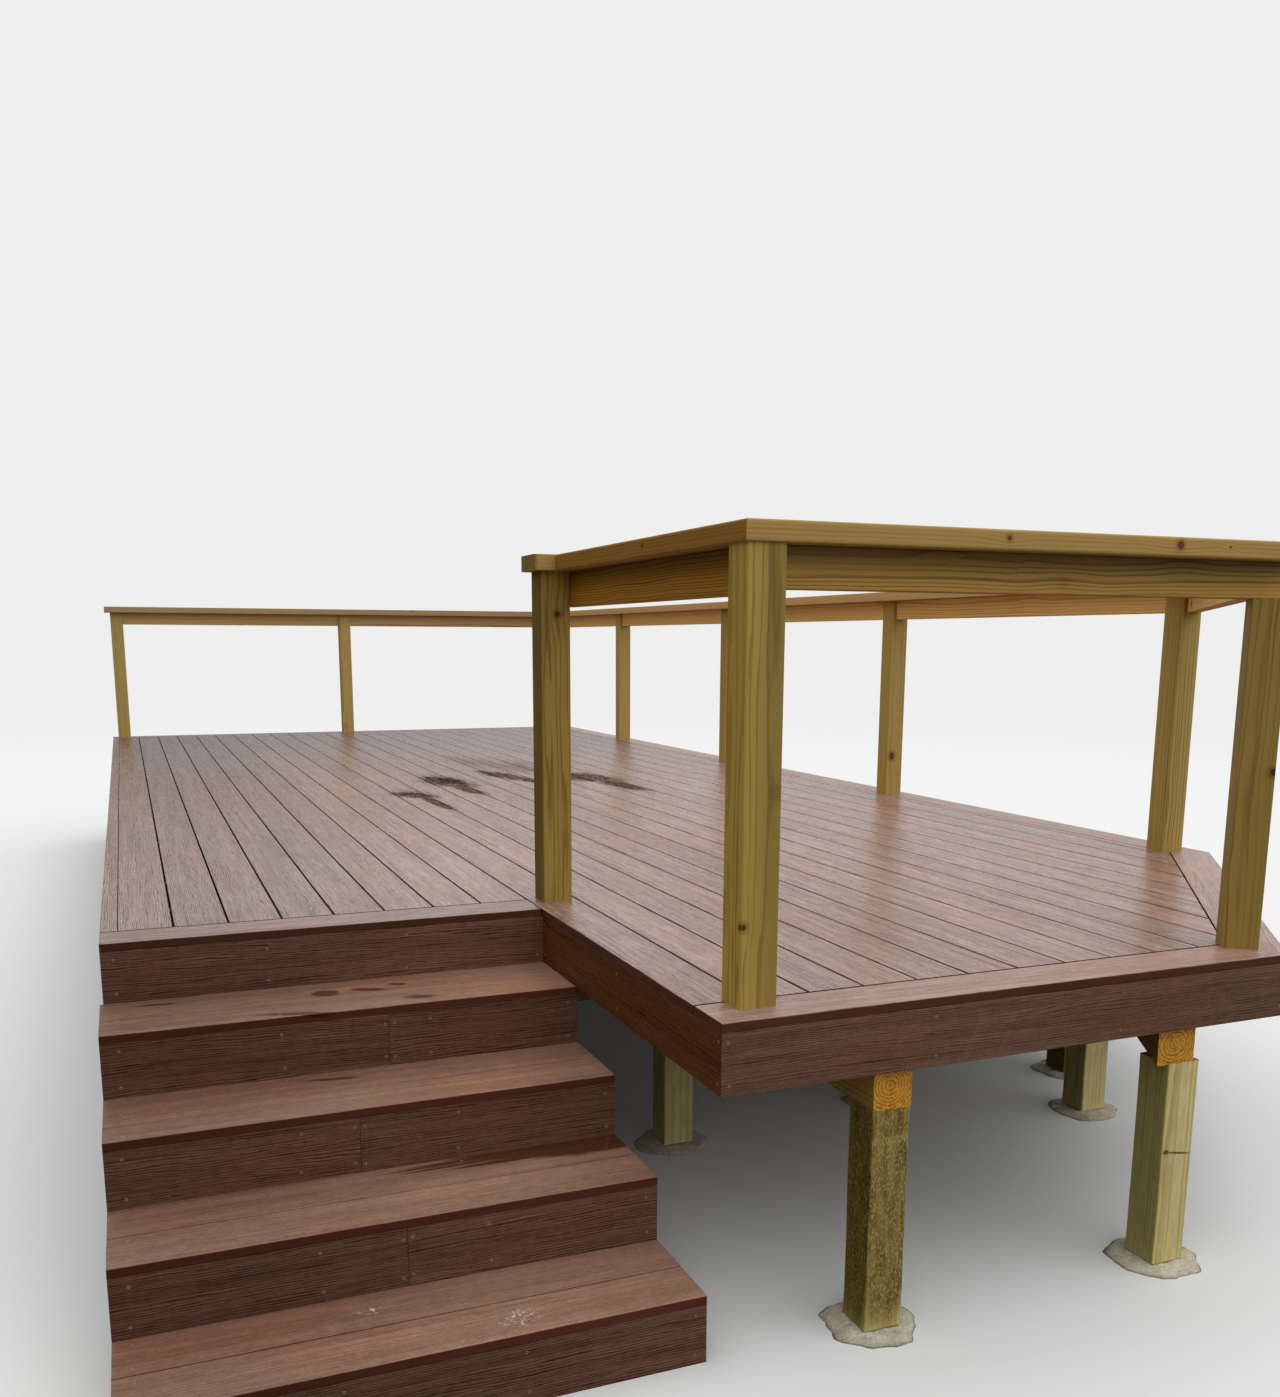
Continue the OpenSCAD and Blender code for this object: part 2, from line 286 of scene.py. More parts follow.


# ---------------------------------------------------------------- marks, stains and painted light

# Each is centre and half sizes in mm, turns in degrees, how ragged its edge is, and how soft.
DECK_STAINS = [
    ((1130, 4050, 0), (900, 280, 60), (0, 0, -84), 1.0, 0.8),
    ((960, 4350, 0), (800, 160, 60), (0, 0, -86), 1.0, 0.8),
    ((260, 2930, 0), (300, 110, 60), (0, 0, -80), 0.9, 0.8),
    ((560, 3500, 0), (420, 150, 60), (0, 0, -84), 0.9, 0.8),
]
DECK_SPILLS = [
    ((225, 2840, 0), (230, 100, 60), (0, 0, -67), 1.1, 0.5),
    ((268, 2500, 0), (440, 44, 60), (0, 0, -88), 0.9, 0.5),
    ((530, 3360, 0), (430, 150, 60), (0, 0, -84), 1.1, 0.5),
    ((548, 2980, 0), (360, 62, 60), (0, 0, -86), 0.9, 0.5),
    ((915, 3560, 0), (480, 105, 60), (0, 0, -80), 1.1, 0.5),
    ((975, 3330, 0), (340, 80, 60), (0, 0, -75), 1.0, 0.5),
    ((1330, 3340, 0), (420, 190, 60), (0, 0, -80), 1.1, 0.5),
    ((1385, 2900, 0), (470, 88, 60), (0, 0, -86), 1.0, 0.5),
]
# Wet patches, smoother than the deck, with a painted reflection of the sky mixed into their colour.
DECK_PUDDLES = [
    ((-560, 1130, 0), (230, 560, 60), (0, 0, 4), 0.6, 1.0),
    ((-860, 620, 0), (150, 260, 60), (0, 0, 0), 0.6, 1.0),
    ((-150, 700, 0), (170, 320, 60), (0, 0, 0), 0.6, 1.0),
]
TREAD_WET = [
    ((-651, -106, -162), (44, 34, 20), (0, 0, -22), 0.7, 0.35),
    ((-536, -108, -162), (58, 17, 20), (0, 0, -21), 0.8, 0.35),
    ((-452, -82, -162), (32, 16, 20), (0, 0, -21), 0.8, 0.4),
    ((-418, -228, -162), (58, 26, 20), (0, 0, -16), 0.9, 0.6),
    ((-745, -268, -162), (130, 16, 20), (0, 0, -14), 0.9, 0.6),
    ((-1074, -54, -162), (64, 10, 20), (0, 0, -6), 0.9, 0.4),
    ((-668, -338, -324), (86, 11, 20), (0, 0, -8), 0.9, 0.4),
]
TREAD_DAMP = [
    ((0, -556, -486), (470, 116, 16), (0, 0, 0), 0.5, 0.2),
    ((-330, -590, -486), (330, 16, 16), (0, 0, 2), 0.8, 0.5),
    ((-260, -628, -486), (230, 14, 16), (0, 0, 1), 0.8, 0.5),
    ((-420, -612, -486), (190, 8, 16), (0, 0, 2), 0.8, 0.5),
]
TREAD_SCUFFS = [
    ((-408, -1070, -648), (62, 54, 20), (0, 0, 0), 1.0, 0.9),
    ((-700, -928, -648), (44, 20, 20), (0, 0, 0), 1.0, 0.9),
]
STUMP_CRACKS = [
    ((1306, -1188, -499), (58, 12, 4), (0, 9, 0), 0.7, 0.6),
    ((1266, -1188, -492), (13, 12, 9), (0, 0, 0), 0.6, 0.6),
]
# A mottled mark on a front stump: more moss and pale flecks, and painted shade that darkens it all
# through.
STUMP_MOTTLE_AND_SHADE = [((440, -1138, -500), (115, 115, 420), (0, 0, 0), 0.1, 0.3)]
STUMP_SCRAPED = [((440, -1188, -332), (75, 20, 11), (0, 0, 0), 0.5, 0.4)]

# Knots that the photo shows: place and radius in mm.
POST_KNOTS = [(80, 84, 853, 9), (80, -1136, 182, 8), (1562, -1146, 459, 10)]
CAP_KNOTS = [(708, -1144, 1001, 7), (1195, -1146, 1001, 10), (1349, -1147, 1001, 3),
             (70, -600, 1000, 5)]

STAIN_TINT = (0.42, 0.30, 0.22)
SPILL_TINT = (0.26, 0.23, 0.18)
DAMP_TINT = (0.36, 0.23, 0.14)
WET_TINT = (0.40, 0.28, 0.20)
CRACK_TINT = (0.22, 0.17, 0.12)
MOSS_TINT = (0.48, 0.45, 0.34)
RUN_TINT = (0.50, 0.44, 0.32)
# Painted shade over the mottled marks.
MOTTLE_PAINTED_SHADE = (0.36, 0.30, 0.20)
# The bluish colour of the painted sky reflection in the puddles.
PAINTED_PUDDLE_REFLECTION = srgb(176, 184, 206)
SCUFF_PALE = srgb(206, 196, 186)
FLECK_PALE = srgb(186, 166, 88)
SCRAPE_PALE = srgb(176, 158, 96)


def blob(net, place, at, half, turn, ragged, soft):
    """A mask that is 1 inside an uneven ellipsoid about a spot, and 0 outside."""
    n = net.node("ShaderNodeMapping", vector_type="TEXTURE")
    net.put(n.inputs["Vector"], place)
    n.inputs["Location"].default_value = spot(*at)
    n.inputs["Rotation"].default_value = [math.radians(a) for a in turn]
    n.inputs["Scale"].default_value = [h / 1000 for h in half]
    rag = net.about(net.noise(n.outputs[0], 2.2, 4, 0.6), 0, ragged / 2)
    return net.step(net.add(net.length(n.outputs[0]), rag), 1.0, 1.0 - soft)


def marked(net, place, marks):
    """A mask over a list of marks."""
    masks = [blob(net, place, *m) for m in marks]
    out = masks[0]
    for m in masks[1:]:
        out = net.most(out, m)
    return out


def painted_light_ramped(net, colour, place, painted_light_ramps):
    """Painted light and shade along an axis: the colour times a level, from the axis, two places on
    it in mm, and the level at each.
    """
    for axis, start, end, low, high in painted_light_ramps:
        limits = [CORNER[axis] + v / 1000 for v in (start, end)]
        colour = net.shade(colour, net.step(net.split(place)[axis], *limits, low, high))
    return colour


# ---------------------------------------------------------------- materials
#
# Every timber has these attributes: gp, its own coordinates in metres with the first along the
# grain; gq, the place from the heart of its tree and a seed; fc, 1 on its narrow sides, on its ends
# and on its rounded arrises; house_side_painted_light, 1 on faces towards the house, where pine
# paints shade, and paints light on the far rails and caps. Noise scales are lumps to a metre.

# How deep the bump of a sound face and of a weathered one goes, in metres.
SOUND_DEPTH, WEATHERED_DEPTH = 0.0007, 0.0014


def pressed_grain(net, grain, shift, pitch, face):
    """Wavy grooves pressed into a face at this pitch, the ridges between them, and scratches."""
    _, v, w = grain
    wave = net.about(net.stretched(grain, 1.5, 15.0, 2, 0.5, shift), 0, 2.8)
    ripple = net.about(net.stretched(grain, 7.0, 55.0, 3, 0.6, shift), 0, 1.1)
    turns = net.add(net.math("MULTIPLY_ADD", net.add(v, net.mul(w, 0.8)), 1 / pitch, wave), ripple)
    tooth = net.mul(net.math("ABSOLUTE", net.take(net.math("FRACT", turns), 0.5)), 2.0)
    broken = net.step(net.stretched(grain, 7.0, 120.0, 3, 0.6, shift), 0.34, 0.58)
    groove = net.mul(net.mul(net.step(tooth, 0.35, 0.95), broken), face)
    ridge = net.mul(net.mul(net.step(tooth, 0.45, 0.05), broken), face)
    hair = net.mul(net.step(net.stretched(grain, 2.6, 230.0, 3, 0.6, shift), 0.56, 0.68), face)
    return groove, ridge, hair


def composite(name, light, dark, edge, rough, pressed, pitch=0.0060, streaks=0.6, across=30.0,
              gleam=0.25, relief=0.5, painted_light_ramps=(), puddles=(), stains=(), spills=(), damp=(), wet=(),
              scuffs=()):
    """Wood-plastic board: grain pressed into its faces, faint long streaks, smooth sawn edges."""
    net = Net(name)
    gp = net.attr("gp")
    grain = net.split(gp)
    seed = net.split(net.attr("gq"))[2]
    side, end, arris = net.split(net.attr("fc"))
    place = net.place()
    shift = net.mul(seed, 40.0)
    cut = net.most(side, end)
    face = net.math("SUBTRACT", 1.0, cut, clamp=True)
    groove, ridge, hair = pressed_grain(net, grain, shift, pitch, face)
    fibre = net.stretched(grain, 16.0, 850.0, 2, 0.6)
    streak = net.stretched(grain, 1.3, across, 4, 0.6, shift)
    cloud = net.noise(gp, 3.2, 3, 0.55)

    colour = net.mix(net.about(net.step(streak, 0.34, 0.66), 0.5, 0.5 * streaks), light, dark)
    colour = net.shade(colour, net.add(net.span(seed, 0.92, 1.08), net.span(cloud, -0.13, 0.13)))
    colour = net.tint(net.step(net.noise(gp, 1.3, 2, 0.5), 0.45, 0.62), colour, (1.06, 0.95, 0.90))
    colour = net.shade(colour, net.span(net.noise(gp, 42.0, 4, 0.7), 0.66, 1.34))
    colour = net.shade(colour, net.less(groove, pressed))
    colour = net.shade(colour, net.less(ridge, -0.5 * pressed))
    colour = net.shade(colour, net.span(fibre, 0.90, 1.10))
    colour = net.shade(colour, net.span(net.stretched(grain, 90.0, 210.0, 4, 0.75), 0.60, 1.40))
    colour = net.shade(colour, net.less(hair, 0.55 * pressed))
    sawn = net.mix(net.step(streak, 0.3, 0.7), edge, net.shade(edge, 0.82))
    colour = net.mix(cut, colour, net.shade(sawn, net.span(fibre, 0.86, 1.14)))
    worn = net.mul(arris, net.step(net.noise(gp, 9.0, 3, 0.6), 0.45, 0.7))
    colour = net.mix(net.mul(worn, 0.25), colour, light)
    # Painted light and shade along the ramps' axes.
    colour = painted_light_ramped(net, colour, place, painted_light_ramps)
    shine = net.about(net.noise(gp, 6.0, 3, 0.6), rough, 0.08)
    gleam = net.mul(net.fade(cut, gleam, 0.15), net.less(net.most(groove, hair), 0.6))

    if puddles:
        drying = net.step(net.noise(place, 5.0, 2, 0.5), 0.34, 0.62)
        m = net.mul(marked(net, place, puddles), drying)
        # Painted reflection: a bluish sky colour mixed into the puddles.
        colour = net.mix(net.mul(m, 0.10), colour, PAINTED_PUDDLE_REFLECTION)
        shine = net.fade(m, shine, 0.08)
    if stains:
        m = net.mul(marked(net, place, stains), net.step(streak, 0.25, 0.55))
        colour = net.tint(m, colour, STAIN_TINT)
        gleam = net.fade(net.mul(m, 0.5), gleam, 0.0)
    if spills:
        m = net.mul(marked(net, place, spills), net.step(streak, 0.20, 0.40))
        m = net.mul(m, net.step(net.stretched(grain, 24.0, 60.0, 4, 0.7), 0.30, 0.55, 0.65, 1.0))
        colour = net.tint(m, colour, SPILL_TINT)
        gleam = net.fade(m, gleam, 0.0)
    if damp:
        m = marked(net, place, damp)
        colour = net.tint(m, colour, DAMP_TINT)
        gleam = net.fade(m, gleam, 0.2)
    if wet:
        colour = net.tint(marked(net, place, wet), colour, WET_TINT)
    if scuffs:
        speck = net.step(net.noise(place, 95.0, 3, 0.7), 0.54, 0.63)
        colour = net.mix(net.mul(marked(net, place, scuffs), speck), colour, SCUFF_PALE)
    height = net.take(net.mul(fibre, 0.2), groove)
    return net.surface(colour, shine, height, SOUND_DEPTH, relief, gleam)


# Cells of the lattice of knots in a metre, and how much fewer there are along the grain.
KNOT_CELLS = 7.0
KNOT_CELLS_ALONG = 0.35


def knot_fields(net, grain, place, kept, knots, parting):
    """The distance to the nearest knot, and the longer one over which the rings part round it.

    One knot may sit in each cell of a lattice stretched along the grain, and there are more with a
    higher share kept. Those that the photo shows are added at their places.
    """
    cells = (KNOT_CELLS_ALONG * KNOT_CELLS, KNOT_CELLS, KNOT_CELLS)
    scaled = net.join(*(net.mul(axis, count) for axis, count in zip(grain, cells)))
    cell = net.node("ShaderNodeTexVoronoi", feature="F1")
    net.put(cell.inputs["Vector"], scaled)
    net.put(cell.inputs["Scale"], 1.0)
    away = net.vec("SUBTRACT", scaled, cell.outputs["Position"])
    au, av, aw = net.split(net.vec("MULTIPLY", away, tuple(1 / count for count in cells)))
    keep = net.step(net.split(cell.outputs["Color"])[0], kept, kept - 0.02)
    near = net.fade(keep, 1.0, net.length(net.join(net.mul(au, 0.75), av, aw)))
    reach = net.fade(keep, 1.0, net.length(net.join(net.mul(au, 0.38), av, aw)))
    for *at, size in knots:
        off = net.vec("SUBTRACT", place, tuple(spot(*at)))
        near = net.least(near, net.mul(net.length(off), 14.0 / size))
        wide = net.length(net.vec("MULTIPLY", off, parting))
        reach = net.least(reach, net.mul(wide, 12.0 / size))
    return near, reach


def late_wood(net, grain, heart, reach, ring, sway):
    """How far a point lies in the dark late part of its year's ring."""
    u, _, _ = grain
    pv, pw, seed = heart
    drift = net.noise(net.join(net.mul(u, 1.3), net.mul(seed, 17.0)), 1.0, 2, 0.5)
    far = net.length(net.join(net.add(pv, net.about(drift, 0, 0.014)), pw))
    far = net.add(far, net.mul(net.step(reach, 0.060, 0.0), 0.008))
    swayed = net.span(net.stretched(grain, 2.2, 30.0, 3, 0.5), 0.0, sway)
    uneven = net.span(net.noise(net.join(net.mul(far, 60.0), seed), 1.0, 2), 0.0, 2.0)
    turns = net.add(net.add(net.math("DIVIDE", far, ring), swayed), uneven)
    late = net.math("FRACT", turns)
    return net.mul(net.step(late, 0.52, 0.94), net.step(late, 1.0, 0.95))


def knotted(net, colour, dark, near):
    """Dark wood about each knot, the knot's own rings and its darker rim. Also returns the rim."""
    knot = net.step(near, 0.0145, 0.0115)
    halo = net.step(near, 0.034, 0.012)
    hoops = net.step(net.math("FRACT", net.mul(near, 420.0)), 0.2, 0.8)
    rim = net.mul(net.step(near, 0.0105, 0.0130), knot)
    colour = net.mix(net.mul(halo, 0.5), colour, net.shade(dark, 0.75))
    colour = net.mix(knot, colour, net.mix(hoops, net.shade(dark, 0.30), net.shade(dark, 0.62)))
    colour = net.mix(net.mul(rim, 0.8), colour, net.shade(dark, 0.16))
    return net.tint(halo, colour, (1.08, 0.86, 0.72)), rim


def weathered(net, colour, grain, place, amount, mottle_and_shade, scraped):
    """Moss and runs all over, more of both, pale flecks and painted shade in the mottled marks, and
    scrapes.
    """
    mottled_and_shaded = marked(net, place, mottle_and_shade)
    amount = net.span(mottled_and_shaded, 0.3 * amount, amount)
    moss = net.stretched(grain, 12.0, 48.0, 5, 0.7)
    runs = net.stretched(grain, 1.6, 60.0, 4, 0.6)
    pale = net.stretched(grain, 120.0, 230.0, 3, 0.65)
    colour = net.tint(net.mul(net.step(moss, 0.42, 0.62), amount), colour, MOSS_TINT)
    colour = net.tint(net.mul(net.step(runs, 0.50, 0.66), net.mul(amount, 0.8)), colour, RUN_TINT)
    # Painted shade: the mottled marks are darkened all through.
    colour = net.tint(mottled_and_shaded, colour, MOTTLE_PAINTED_SHADE)
    fleck = net.mul(net.mul(net.step(pale, 0.50, 0.60), mottled_and_shaded), 0.65)
    colour = net.mix(fleck, colour, FLECK_PALE)
    scrape = net.mul(marked(net, place, scraped), net.step(pale, 0.40, 0.52))
    return net.mix(net.mul(scrape, 0.6), colour, SCRAPE_PALE)


def end_grain(net, grain, seed, late, fuzz, light, dark):
    """The colour of a sawn end: its rings, furred lighter, and a few drying cracks."""
    _, v, w = grain
    ends = net.mix(net.mul(late, 0.9), light, dark)
    ends = net.mix(net.mul(net.step(fuzz, 0.45, 0.62), 0.5), ends, net.shade(light, 1.25))
    split = net.noise(net.join(net.mul(v, 22.0), net.mul(w, 22.0), seed), 1.0, 4, 0.7, 1.2)
    line = net.step(net.math("ABSOLUTE", net.take(split, 0.5)), 0.02, 0.0)
    return net.mix(net.mul(line, 0.75), ends, net.shade(dark, 0.45))


def pine(name, light, dark, green, ring, contrast, kept=0.5, sway=0.9, fur=0.10, rough=0.62,
         end_light=srgb(205, 142, 52), end_dark=srgb(128, 76, 20), knots=(), parting=(1, 1, 0.4),
         cracks=(), weather=0.0, mottle_and_shade=(), scraped=(), house_side_painted_light=(1, 1, 1), house_side_painted_light_from=None, painted_light_ramps=()):
    """Sawn pine: rings about the heart of its tree that part round knots, and long fibre."""
    net = Net(name)
    gp = net.attr("gp")
    grain = net.split(gp)
    heart = net.split(net.attr("gq"))
    seed = heart[2]
    _, end, arris = net.split(net.attr("fc"))
    place = net.place()
    near, reach = knot_fields(net, grain, place, kept, knots, parting)
    late = late_wood(net, grain, heart, reach, ring, sway)
    fibre = net.stretched(grain, 5.0, 420.0, 3, 0.6)
    broad = net.stretched(grain, 0.8, 9.0, 3, 0.55, net.mul(seed, 30.0))
    lined = net.step(net.stretched(grain, 0.7, 14.0, 2, 0.5, net.mul(seed, 50.0)), 0.32, 0.58)
    fuzz = net.noise(gp, 140.0, 4, 0.75)

    colour = net.mix(net.mul(net.mul(late, contrast), net.span(lined, 0.35, 1.0)), light, dark)
    colour = net.tint(net.mul(net.step(broad, 0.38, 0.66), 0.6), colour, green)
    colour = net.shade(colour, net.add(net.about(fibre, 1, fur), net.about(seed, 0, 0.07)))
    colour, rim = knotted(net, colour, dark, near)
    if cracks:
        colour = net.tint(marked(net, place, cracks), colour, CRACK_TINT)
    if weather:
        colour = weathered(net, colour, grain, place, weather, mottle_and_shade, scraped)
    # Painted light and shade along the ramps' axes.
    colour = painted_light_ramped(net, colour, place, painted_light_ramps)
    # Painted shade on faces towards the house, by a tint over them that grows between two places
    # along the row when these are given; a tint above 1 paints light there. These faces also
    # reflect less.
    house_facing = net.attr("house_side_painted_light", "Fac")
    if house_side_painted_light_from:
        limits = [spot(0, y).y for y in house_side_painted_light_from]
        house_facing = net.mul(house_facing, net.step(net.split(place)[Y], *limits))
    colour = net.tint(house_facing, colour, house_side_painted_light)
    colour = net.mix(end, colour, end_grain(net, grain, seed, late, fuzz, end_light, end_dark))
    worn = net.mul(arris, net.step(net.noise(gp, 11.0, 3, 0.6), 0.4, 0.7))
    colour = net.mix(net.mul(worn, 0.35), colour, net.shade(light, 1.15))

    height = net.add(net.mul(fibre, 0.5), net.mul(late, 0.35))
    height = net.add(height, net.mul(net.mul(fuzz, end), 1.5))
    height = net.take(height, net.mul(rim, 0.8))
    depth = WEATHERED_DEPTH if weather else SOUND_DEPTH
    shine = net.about(fibre, rough, 0.08)
    return net.surface(colour, shine, height, depth, 0.5, net.span(house_facing, 0.35, 0.1))


def rough_concrete(name):
    """Pale concrete with dark grit, damp patches, and darker at its foot."""
    net = Net(name)
    p = net.place()
    grit = net.noise(p, 160.0, 3, 0.7)
    damp = net.step(net.noise(p, 7.0, 4, 0.6), 0.52, 0.66)
    low = net.step(net.split(p)[Z], 0.007, 0.0)
    base = net.mix(net.noise(p, 9.0, 5, 0.65), srgb(222, 214, 192), srgb(178, 170, 148))
    base = net.mix(net.mul(net.step(grit, 0.58, 0.66), 0.7), base, srgb(118, 110, 92))
    base = net.mix(net.step(grit, 0.42, 0.34), base, srgb(236, 231, 216))
    base = net.mix(net.mul(damp, 0.45), base, srgb(112, 104, 76))
    base = net.mix(net.mul(low, 0.3), base, srgb(112, 100, 76))
    height = net.add(grit, net.mul(net.noise(p, 45.0, 4, 0.7), 1.5))
    return net.surface(base, 0.9, height, 0.003, 0.8, 0.3)


def screw_metal(name):
    net = Net(name)
    n = net.noise(net.place(), 900.0, 3, 0.6)
    colour = net.mix(n, srgb(176, 148, 126), srgb(118, 92, 76))
    return net.surface(colour, net.span(n, 0.35, 0.6), n, 0.0003, 0.4, 0.5, 0.3)


# Painted shade on the flight, darker towards the house: axis and two places on it in mm.
HOUSE_SHADE_SPAN = (X, -1205, -50)

MATERIALS = {
    # Painted sheen: a lighter copy of the boards for the deck. Its ramps paint shade towards the
    # house and towards the far end.
    "deck": composite(
        "deck_composite_painted_sheen", srgb(166, 134, 121), srgb(134, 104, 93), srgb(82, 50, 38), rough=0.27,
        pressed=0.75, pitch=0.0058, streaks=0.7, across=46.0, gleam=0.5, relief=0.3,
        painted_light_ramps=[(X, -1150, 300, 0.78, 1.12), (Y, 2500, 7500, 1.0, 0.58)],
        puddles=DECK_PUDDLES, stains=DECK_STAINS, spills=DECK_SPILLS),
    # Painted light: a still lighter copy of the deck's boards for the outer borders.
    "edging_painted_lit": composite(
        "edging_composite_painted_lit", srgb(186, 152, 138), srgb(156, 124, 110), srgb(90, 54, 41), rough=0.36,
        pressed=0.5, pitch=0.0058, across=46.0, gleam=0.5),
    # Its ramp paints shade on the treads towards the house.
    "tread": composite(
        "tread_composite", srgb(148, 114, 95), srgb(126, 94, 76), srgb(84, 45, 31), rough=0.50,
        pressed=0.30, pitch=0.0058, streaks=0.7, gleam=0.35, painted_light_ramps=[(*HOUSE_SHADE_SPAN, 0.76, 1.22)],
        damp=TREAD_DAMP, wet=TREAD_WET, scuffs=TREAD_SCUFFS),
    # Painted shade: a darker copy of the deck's boards for the fascias.
    "fascia": composite(
        "fascia_composite_painted_shade", srgb(120, 89, 72), srgb(98, 70, 56), srgb(78, 42, 30), rough=0.50,
        pressed=0.45),
    # Painted shade: a darker copy of the boards for the risers. Its ramp also paints shade towards
    # the house.
    "riser": composite(
        "riser_composite_painted_shade", srgb(112, 79, 63), srgb(89, 61, 48), srgb(78, 42, 30), rough=0.50,
        pressed=0.62, painted_light_ramps=[(*HOUSE_SHADE_SPAN, 0.86, 1.22)]),
    # Painted shade: a darker copy of the boards for the side fascia, which faces the house.
    "side_fascia": composite(
        "side_fascia_composite_painted_shade", srgb(110, 66, 36), srgb(86, 50, 26), srgb(74, 42, 28), rough=0.55,
        pressed=0.5, gleam=0.15),
    # Painted shade: a darker copy of the posts' pine for the near posts, darker again on faces
    # towards the house, more so towards the back.
    "post": pine(
        "post_pine_near_painted_shade", srgb(166, 136, 63), srgb(96, 68, 26), (0.84, 0.92, 0.70), ring=0.0120,
        contrast=0.65, kept=0.2, sway=2.2, knots=POST_KNOTS, house_side_painted_light=(0.5, 0.5, 0.55),
        house_side_painted_light_from=(-900, 0)),
    # Painted light and shade across the corner post: lighter at its left and darker to its right.
    "corner_post": pine(
        "post_pine_corner_painted_light", srgb(164, 136, 66), srgb(100, 72, 28), (0.84, 0.92, 0.70), ring=0.0120,
        contrast=0.65, kept=0.2, sway=2.2, knots=POST_KNOTS, painted_light_ramps=[(X, 85, 150, 1.22, 0.84)]),
    # Painted light: a lighter copy of the posts' pine for the far posts.
    "far_post_painted_lit": pine(
        "post_pine_far_painted_lit", srgb(188, 158, 88), srgb(124, 90, 40), (0.88, 0.92, 0.76), ring=0.0095,
        contrast=0.75, kept=0.3),
    # Painted shade: a darker copy for the near rails, darker again on faces towards the house. Its
    # ramp paints light on the lower part, below the painted shade of the cap.
    "rail": pine(
        "rail_pine_near_painted_shade", srgb(144, 110, 50), srgb(82, 54, 18), (0.84, 0.90, 0.70), ring=0.0072,
        contrast=0.8, house_side_painted_light=(0.80, 0.68, 0.38), painted_light_ramps=[(Z, 965, 900, 1.0, 1.9)]),
    # Painted light: a lighter copy for the far rails, lighter again on faces towards the house.
    "far_rail_painted_lit": pine(
        "rail_pine_far_painted_lit", srgb(206, 170, 110), srgb(152, 108, 58), (0.94, 0.92, 0.80), ring=0.0080,
        contrast=0.7, house_side_painted_light=(1.55, 1.45, 1.25)),
    # Painted shade on the near caps' faces towards the house.
    "cap": pine(
        "cap_pine_near_painted_shade", srgb(182, 146, 82), srgb(138, 97, 45), (0.90, 0.92, 0.76), ring=0.0085,
        contrast=0.45, kept=0.2, end_light=srgb(146, 114, 66), end_dark=srgb(104, 74, 36),
        knots=CAP_KNOTS, parting=(0.4, 1, 1), house_side_painted_light=(0.74, 0.60, 0.35)),
    # Painted light: a copy for the far caps, lighter on faces towards the house.
    "far_cap_painted_lit": pine(
        "cap_pine_far_painted_lit", srgb(176, 146, 104), srgb(138, 102, 62), (0.94, 0.92, 0.82), ring=0.0085,
        contrast=0.5, house_side_painted_light=(1.7, 1.6, 1.35)),
    "frame": pine(
        "framing_pine", srgb(166, 132, 76), srgb(120, 84, 40), (0.84, 0.92, 0.72), ring=0.0088,
        contrast=0.6, end_light=srgb(216, 152, 48), end_dark=srgb(116, 64, 10)),
    # Painted light: a lighter copy for the front stumps, with painted shade on faces towards the
    # house and over the mottled mark.
    "stump": pine(
        "stump_pine_painted_lit", srgb(222, 204, 144), srgb(160, 138, 80), (0.80, 0.86, 0.60), ring=0.0095,
        contrast=0.5, kept=0.25, fur=0.14, rough=0.8, cracks=STUMP_CRACKS, weather=0.8,
        mottle_and_shade=STUMP_MOTTLE_AND_SHADE, scraped=STUMP_SCRAPED, house_side_painted_light=(0.68, 0.69, 0.58)),
    # Painted shade: a darker copy for the rear stumps, darker again on faces towards the house.
    "far_stump_painted_shade": pine(
        "stump_pine_far_painted_shade", srgb(150, 134, 78), srgb(104, 86, 42), (0.80, 0.86, 0.60), ring=0.0095,
        contrast=0.5, kept=0.25, fur=0.14, rough=0.8, house_side_painted_light=(0.6, 0.58, 0.5)),
    "concrete": rough_concrete("footing_concrete"),
    "screw": screw_metal("screw_steel"),
}


# ---------------------------------------------------------------- timbers from the CAD solids

# Of faces that are equally large, to this many square metres, the one that looks most this way
# counts.
SAME_AREA = 1e-4
FRONT_AND_TOP = Vector((0.31, -0.87, 0.38))


def place_in_row(points):
    """The middle of a solid's box in whole mm, to sort by, shifted so that none lies on a step."""
    return tuple(math.floor(sum(reach_of(points, axis)) / 2 * 1000 + 0.3) for axis in (X, Y, Z))


def parts_of(node):
    """The solids of a CAD node, each as a list of corner points and a list of flat faces."""
    bm = bmesh.new()
    bm.from_mesh(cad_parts[node].data)
    bmesh.ops.remove_doubles(bm, verts=bm.verts, dist=2e-5)
    bmesh.ops.dissolve_limit(bm, angle_limit=0.01, verts=bm.verts, edges=bm.edges)
    bmesh.ops.recalc_face_normals(bm, faces=bm.faces)
    bm.verts.index_update()
    bm.faces.index_update()
    bm.faces.ensure_lookup_table()
    taken, out = set(), []
    for first in bm.verts:
        if first.index in taken:
            continue
        taken.add(first.index)
        todo, mine = [first], []
        while todo:
            v = todo.pop()
            mine.append(v)
            for e in v.link_edges:
                o = e.other_vert(v)
                if o.index not in taken:
                    taken.add(o.index)
                    todo.append(o)
        number = {v.index: i for i, v in enumerate(mine)}
        flats = sorted({f.index for v in mine for f in v.link_faces})
        faces = [[number[v.index] for v in bm.faces[i].verts] for i in flats]
        out.append(([v.co.copy() for v in mine], faces))
    bm.free()
    out.sort(key=lambda part: place_in_row(part[0]))
    return out


